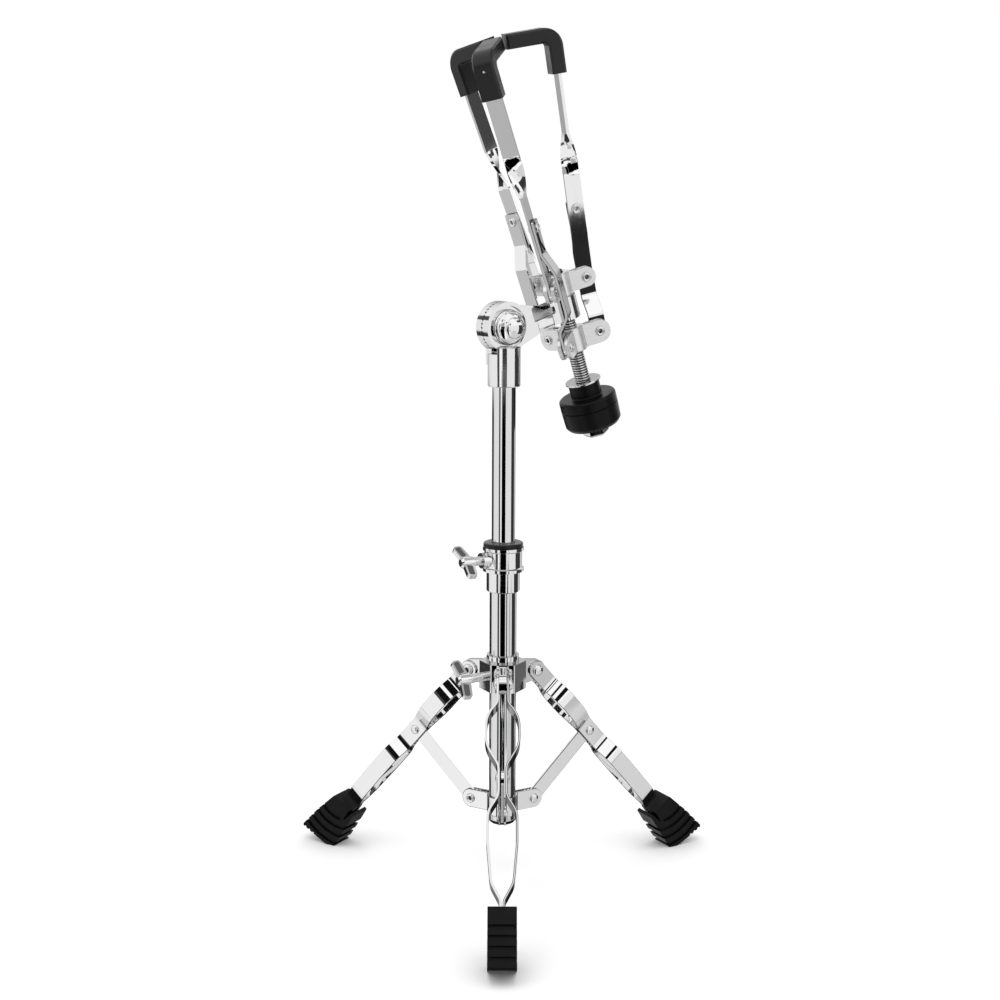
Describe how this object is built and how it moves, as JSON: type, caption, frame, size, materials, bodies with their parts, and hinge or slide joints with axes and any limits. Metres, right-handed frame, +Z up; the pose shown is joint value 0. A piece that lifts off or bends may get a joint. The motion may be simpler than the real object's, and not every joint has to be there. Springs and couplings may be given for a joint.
{
  "type": "snare drum stand",
  "caption": "Chromed snare drum stand: folding double-strip tripod, telescopic column with wing bolts, toothed tilter and a folding basket of hooked arms with rubber grips.",
  "frame": {"origin": "on the floor under the axis of the column", "axes": "+Z up along the column, +X to the right of the picture, +Y to the rear; one leg points to -Y"},
  "size_m": [0.3558, 0.308, 0.6981],
  "materials": {
    "chrome_tube": "polished",
    "chrome_strip": "polished",
    "chrome_cast": "polished over a cast surface",
    "rivet_steel": "bright zinc plated",
    "rod_steel": "bright zinc plated",
    "foot_rubber": "satin black",
    "plug_rubber": "matt black",
    "grip_rubber": "satin dark grey",
    "nylon_black": "satin black",
    "knob_plastic": "satin black"
  },
  "bodies": {
    "column": {"lower_tube": "chrome_tube", "tube_plug": "plug_rubber", "height_collar": "chrome_cast", "spider_plate_1": "chrome_strip", "spider_plate_2": "chrome_strip", "spider_plate_3": "chrome_strip", "spider_rivets": "rivet_steel"},
    "boss": {"tripod_boss": "chrome_cast", "boss_rivets": "rivet_steel"},
    "boss_bolt": {"boss_wing_bolt": "chrome_cast"},
    "height_bolt": {"height_wing_bolt": "chrome_cast"},
    "bush": {"collar_bush": "nylon_black"},
    "mast": {"upper_tube": "chrome_tube", "tilter_sleeve": "chrome_cast", "tilter_bolt": "chrome_cast"},
    "tilter_nut": {"tilter_wing_nut": "chrome_cast"},
    "basket": {"tilter_arm": "chrome_cast", "basket_rod": "rod_steel", "basket_crown": "chrome_cast", "crown_pins": "rivet_steel"},
    "slider": {"basket_slider": "chrome_cast", "slider_pins": "rivet_steel"},
    "knob": {"basket_knob": "knob_plastic", "knob_washer": "rod_steel", "knob_insert": "rod_steel"},
    "leg_1": {"leg_1_strip_left": "chrome_strip", "leg_1_strip_right": "chrome_strip", "leg_1_foot": "foot_rubber", "leg_1_rivets": "rivet_steel"},
    "brace_1": {"brace_1": "chrome_strip"},
    "leg_2": {"leg_2_strip_left": "chrome_strip", "leg_2_strip_right": "chrome_strip", "leg_2_foot": "foot_rubber", "leg_2_rivets": "rivet_steel"},
    "brace_2": {"brace_2": "chrome_strip"},
    "leg_3": {"leg_3_strip_left": "chrome_strip", "leg_3_strip_right": "chrome_strip", "leg_3_foot": "foot_rubber", "leg_3_rivets": "rivet_steel"},
    "brace_3": {"brace_3": "chrome_strip"},
    "arm_1": {"arm_1": "chrome_strip", "grip_1": "grip_rubber", "arm_1_rivet": "rivet_steel"},
    "arm_2": {"arm_2": "chrome_strip", "grip_2": "grip_rubber", "arm_2_rivet": "rivet_steel"},
    "arm_3": {"arm_3": "chrome_strip", "grip_3": "grip_rubber", "arm_3_rivet": "rivet_steel"},
    "strut_1": {"strut_1": "chrome_strip", "strut_1_rivet": "rivet_steel"},
    "strut_2": {"strut_2": "chrome_strip", "strut_2_rivet": "rivet_steel"},
    "strut_3": {"strut_3": "chrome_strip", "strut_3_rivet": "rivet_steel"}
  },
  "joints": [
    {"name": "boss_slide", "type": "slide", "parent": "column", "child": "boss", "axis": [0, 0, 1], "range_m": [0, 0.04264]},
    {"name": "leg_1_fold", "type": "hinge", "parent": "boss", "child": "leg_1", "pos_m": [0, -0.0308, 0.18], "axis": [1, 0, 0], "range_deg": [0, 35.21]},
    {"name": "brace_1_fold", "type": "hinge", "parent": "column", "child": "brace_1", "pos_m": [0, -0.0292, 0.0678], "axis": [1, 0, 0], "range_deg": [-39.17, 0]},
    {"name": "leg_2_fold", "type": "hinge", "parent": "boss", "child": "leg_2", "pos_m": [0.02667, 0.0154, 0.18], "axis": [-0.5, 0.866, 0], "range_deg": [0, 35.21]},
    {"name": "brace_2_fold", "type": "hinge", "parent": "column", "child": "brace_2", "pos_m": [0.02529, 0.0146, 0.0678], "axis": [-0.5, 0.866, 0], "range_deg": [-39.17, 0]},
    {"name": "leg_3_fold", "type": "hinge", "parent": "boss", "child": "leg_3", "pos_m": [-0.02667, 0.0154, 0.18], "axis": [-0.5, -0.866, 0], "range_deg": [0, 35.21]},
    {"name": "brace_3_fold", "type": "hinge", "parent": "column", "child": "brace_3", "pos_m": [-0.02529, 0.0146, 0.0678], "axis": [-0.5, -0.866, 0], "range_deg": [-39.17, 0]},
    {"name": "boss_bolt_turn", "type": "hinge", "parent": "boss", "child": "boss_bolt", "pos_m": [-0.02771, -0.016, 0.18], "axis": [-0.866, -0.5, 0], "continuous": true},
    {"name": "height_bolt_turn", "type": "hinge", "parent": "column", "child": "height_bolt", "pos_m": [-0.02511, -0.0145, 0.27755], "axis": [-0.866, -0.5, 0], "continuous": true},
    {"name": "column_swivel", "type": "hinge", "parent": "column", "child": "bush", "pos_m": [0, 0, 0.2875], "axis": [0, 0, 1], "continuous": true},
    {"name": "height_slide", "type": "slide", "parent": "bush", "child": "mast", "axis": [0, 0, 1], "range_m": [-0.045, 0.08]},
    {"name": "tilter_nut_turn", "type": "hinge", "parent": "mast", "child": "tilter_nut", "pos_m": [0, 0, 0.466], "axis": [-0.5592, 0.829, 0], "continuous": true},
    {"name": "basket_tilt", "type": "hinge", "parent": "mast", "child": "basket", "pos_m": [0, 0, 0.466], "axis": [-0.5592, 0.829, 0], "range_deg": [-57, 25]},
    {"name": "knob_turn", "type": "hinge", "parent": "basket", "child": "knob", "pos_m": [0.0756, 0.05099, 0.38135], "axis": [-0.2603, -0.1756, 0.9494], "continuous": true},
    {"name": "arm_1_open", "type": "hinge", "parent": "basket", "child": "arm_1", "pos_m": [0.0654, 0.03432, 0.50502], "axis": [-0.2514, 0.9617, 0.1089], "range_deg": [0, 53.48]},
    {"name": "arm_2_open", "type": "hinge", "parent": "basket", "child": "arm_2", "pos_m": [0.02758, 0.04643, 0.49689], "axis": [-0.6816, -0.663, -0.3095], "range_deg": [0, 53.49]},
    {"name": "arm_3_open", "type": "hinge", "parent": "basket", "child": "arm_3", "pos_m": [0.03777, 0.00745, 0.49248], "axis": [0.933, -0.2987, 0.2006], "range_deg": [0, 53.49]},
    {"name": "slider_slide", "type": "slide", "parent": "basket", "child": "slider", "axis": [-0.2603, -0.1756, 0.9494], "range_m": [-0.01558, 0]},
    {"name": "strut_1_swing", "type": "hinge", "parent": "slider", "child": "strut_1", "pos_m": [0.07755, 0.04252, 0.46068], "axis": [-0.2514, 0.9617, 0.1089], "range_deg": [0, 24.59]},
    {"name": "strut_2_swing", "type": "hinge", "parent": "slider", "child": "strut_2", "pos_m": [0.03974, 0.05463, 0.45256], "axis": [-0.6816, -0.663, -0.3095], "range_deg": [0, 24.59]},
    {"name": "strut_3_swing", "type": "hinge", "parent": "slider", "child": "strut_3", "pos_m": [0.04993, 0.01565, 0.44814], "axis": [0.933, -0.2987, 0.2006], "range_deg": [0, 24.59]}
  ],
  "couplings": [
    {"joint": "leg_1_fold", "follows": "boss_slide", "rad_per_m": 14.409},
    {"joint": "brace_1_fold", "follows": "boss_slide", "rad_per_m": -16.031},
    {"joint": "leg_2_fold", "follows": "boss_slide", "rad_per_m": 14.409},
    {"joint": "brace_2_fold", "follows": "boss_slide", "rad_per_m": -16.031},
    {"joint": "leg_3_fold", "follows": "boss_slide", "rad_per_m": 14.409},
    {"joint": "brace_3_fold", "follows": "boss_slide", "rad_per_m": -16.031},
    {"joint": "arm_2_open", "follows": "arm_1_open", "ratio": 1},
    {"joint": "arm_3_open", "follows": "arm_1_open", "ratio": 1},
    {"joint": "slider_slide", "follows": "arm_1_open", "m_per_rad": -0.016685},
    {"joint": "strut_1_swing", "follows": "arm_1_open", "ratio": 0.45968},
    {"joint": "strut_2_swing", "follows": "arm_1_open", "ratio": 0.45968},
    {"joint": "strut_3_swing", "follows": "arm_1_open", "ratio": 0.45968}
  ]
}
